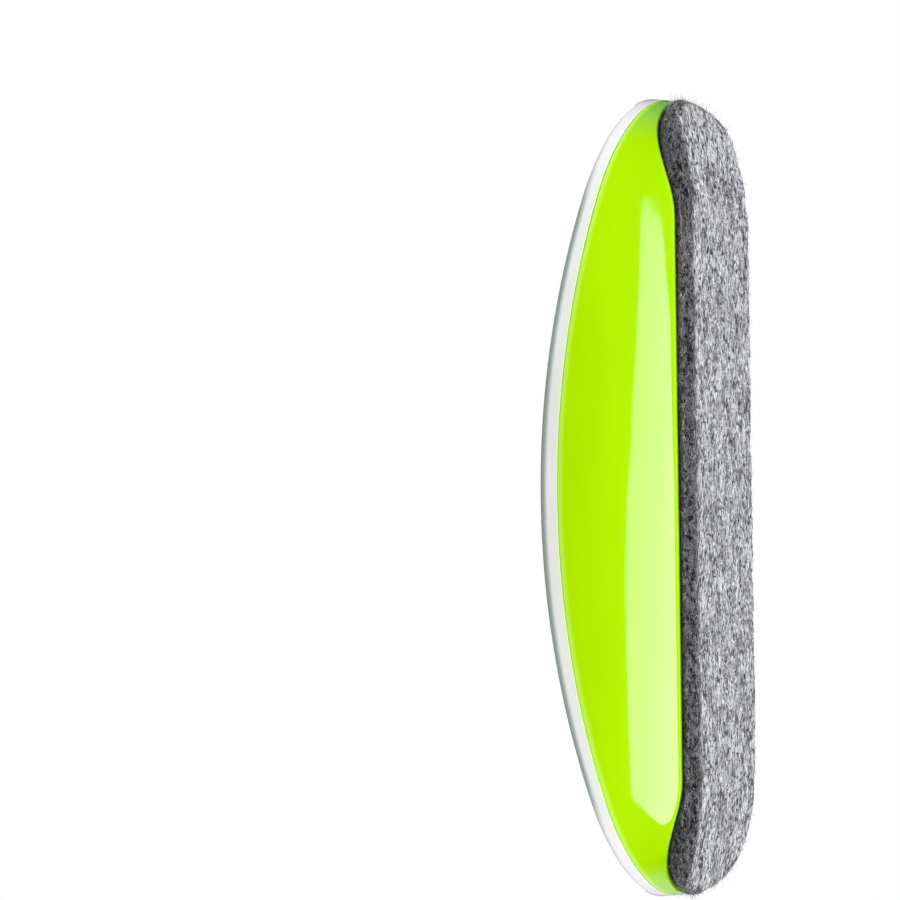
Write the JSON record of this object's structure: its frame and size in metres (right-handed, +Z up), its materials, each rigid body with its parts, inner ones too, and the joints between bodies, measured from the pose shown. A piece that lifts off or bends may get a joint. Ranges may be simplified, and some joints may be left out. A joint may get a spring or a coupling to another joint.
{
  "type": "board eraser",
  "caption": "Hand-held board eraser: arched two-colour plastic handle over a thick felt wiping pad.",
  "frame": {"origin": "under the middle of the eraser, on the felt's lower face", "axes": "+X along the eraser, +Y across it, +Z up from the felt to the cover"},
  "size_m": [0.1498, 0.05, 0.0298],
  "materials": {
    "cover_plastic": "glossy white moulded plastic",
    "shell_plastic": "glossy lime-green moulded plastic",
    "plate_plastic": "matt black moulded plastic",
    "magnet_ferrite": "dull sintered ferrite",
    "tape": "double-sided foam tape",
    "adhesive": "hot-melt adhesive film",
    "felt": "grey melange needled felt, darker on its cut side"
  },
  "bodies": {
    "root": {"top_cover": "cover_plastic", "body_shell": "shell_plastic", "base_plate": "plate_plastic", "magnet_left": "magnet_ferrite", "magnet_right": "magnet_ferrite", "magnet_tape_left": "tape", "magnet_tape_right": "tape", "felt_adhesive": "adhesive", "felt_pad": "felt"}
  },
  "joints": []
}
